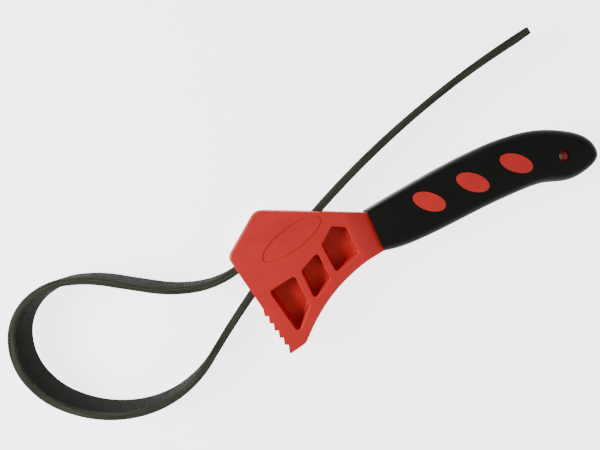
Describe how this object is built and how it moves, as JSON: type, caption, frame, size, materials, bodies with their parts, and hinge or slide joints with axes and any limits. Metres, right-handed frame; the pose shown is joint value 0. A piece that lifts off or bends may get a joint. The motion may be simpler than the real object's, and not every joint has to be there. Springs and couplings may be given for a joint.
{
  "type": "strap wrench",
  "caption": "Strap wrench with a toothed moulded head, soft overmoulded grip and a rubber strap looped through the head, its free tail pulled out past the handle.",
  "frame": {"origin": "on the axis of the hanging hole near the butt, at mid thickness", "axes": "+Z along the hanging hole, out of the face with the oval label line; +X along the handle, from the head towards the butt; the wrench lies flat with its head's back face down"},
  "size_m": [0.3631, 0.1175, 0.026],
  "materials": {
    "red_nylon": "satin glass-filled nylon, moulded",
    "soft_grip": "matte soft-touch overmoulding",
    "strap_rubber": "matte ribbed rubber",
    "pin_steel": "plain drawn steel"
  },
  "bodies": {
    "wrench": {"head_core": "red_nylon", "grip": "soft_grip"},
    "strap_run": {"strap_tail": "strap_rubber"},
    "loop_01": {"strap_link_01": "strap_rubber"},
    "loop_02": {"strap_link_02": "strap_rubber"},
    "loop_03": {"strap_link_03": "strap_rubber"},
    "loop_04": {"strap_link_04": "strap_rubber"},
    "loop_05": {"strap_link_05": "strap_rubber"},
    "loop_06": {"strap_link_06": "strap_rubber"},
    "loop_07": {"strap_link_07": "strap_rubber"},
    "loop_08": {"strap_link_08": "strap_rubber"},
    "loop_09": {"strap_link_09": "strap_rubber"},
    "loop_10": {"strap_link_10": "strap_rubber"},
    "loop_11": {"strap_link_11": "strap_rubber"},
    "fixed_end": {"strap_anchor": "strap_rubber", "anchor_pin": "pin_steel"}
  },
  "joints": [
    {"name": "strap_pull", "type": "hinge", "parent": "wrench", "child": "strap_run", "pos_m": [0.092, -0.479, 0], "axis": [0, 0, -1], "range_deg": [-3, 4]},
    {"name": "strap_bend_01", "type": "hinge", "parent": "strap_run", "child": "loop_01", "pos_m": [-0.23558, -0.0248, 0], "axis": [0, 0, -1], "range_deg": [-11.87, 15.77]},
    {"name": "strap_bend_02", "type": "hinge", "parent": "loop_01", "child": "loop_02", "pos_m": [-0.25814, -0.03547, 0], "axis": [0, 0, -1], "range_deg": [-7.28, 5.51]},
    {"name": "strap_bend_03", "type": "hinge", "parent": "loop_02", "child": "loop_03", "pos_m": [-0.28303, -0.03691, 0], "axis": [0, 0, -1], "range_deg": [-18.95, 14.26]},
    {"name": "strap_bend_04", "type": "hinge", "parent": "loop_03", "child": "loop_04", "pos_m": [-0.30676, -0.02911, 0], "axis": [0, 0, -1], "range_deg": [-11.64, 8.78]},
    {"name": "strap_bend_05", "type": "hinge", "parent": "loop_04", "child": "loop_05", "pos_m": [-0.32653, -0.01383, 0], "axis": [0, 0, -1], "range_deg": [-3.18, 4.18]},
    {"name": "strap_bend_06", "type": "hinge", "parent": "loop_05", "child": "loop_06", "pos_m": [-0.3385, 0.00795, 0], "axis": [0, 0, -1], "range_deg": [-3.19, 4.19]},
    {"name": "strap_bend_07", "type": "hinge", "parent": "loop_06", "child": "loop_07", "pos_m": [-0.33691, 0.03256, 0], "axis": [0, 0, -1], "range_deg": [-4.55, 6]},
    {"name": "strap_bend_08", "type": "hinge", "parent": "loop_07", "child": "loop_08", "pos_m": [-0.31957, 0.04978, 0], "axis": [0, 0, -1], "range_deg": [-8.74, 11.59]},
    {"name": "strap_bend_09", "type": "hinge", "parent": "loop_08", "child": "loop_09", "pos_m": [-0.29496, 0.05098, 0], "axis": [0, 0, -1], "range_deg": [-9.1, 12.07]},
    {"name": "strap_bend_10", "type": "hinge", "parent": "loop_09", "child": "loop_10", "pos_m": [-0.27224, 0.04053, 0], "axis": [0, 0, -1], "range_deg": [-3.34, 4.38]},
    {"name": "strap_bend_11", "type": "hinge", "parent": "loop_10", "child": "loop_11", "pos_m": [-0.25111, 0.02697, 0], "axis": [0, 0, -1], "range_deg": [-7.38, 5.58]},
    {"name": "strap_bend_12", "type": "hinge", "parent": "loop_11", "child": "fixed_end", "pos_m": [-0.22822, 0.01692, 0], "axis": [0, 0, -1], "range_deg": [-16.53, 12.45]}
  ],
  "couplings": [
    {"joint": "strap_bend_01", "follows": "strap_pull", "ratio": 3.8914},
    {"joint": "strap_bend_02", "follows": "strap_pull", "ratio": -1.7695},
    {"joint": "strap_bend_03", "follows": "strap_pull", "ratio": -4.6871},
    {"joint": "strap_bend_04", "follows": "strap_pull", "ratio": -2.861},
    {"joint": "strap_bend_05", "follows": "strap_pull", "ratio": 0.9938},
    {"joint": "strap_bend_06", "follows": "strap_pull", "ratio": 0.9981},
    {"joint": "strap_bend_07", "follows": "strap_pull", "ratio": 1.4511},
    {"joint": "strap_bend_08", "follows": "strap_pull", "ratio": 2.8475},
    {"joint": "strap_bend_09", "follows": "strap_pull", "ratio": 2.9675},
    {"joint": "strap_bend_10", "follows": "strap_pull", "ratio": 1.0457},
    {"joint": "strap_bend_11", "follows": "strap_pull", "ratio": -1.7947},
    {"joint": "strap_bend_12", "follows": "strap_pull", "ratio": -4.0828}
  ]
}
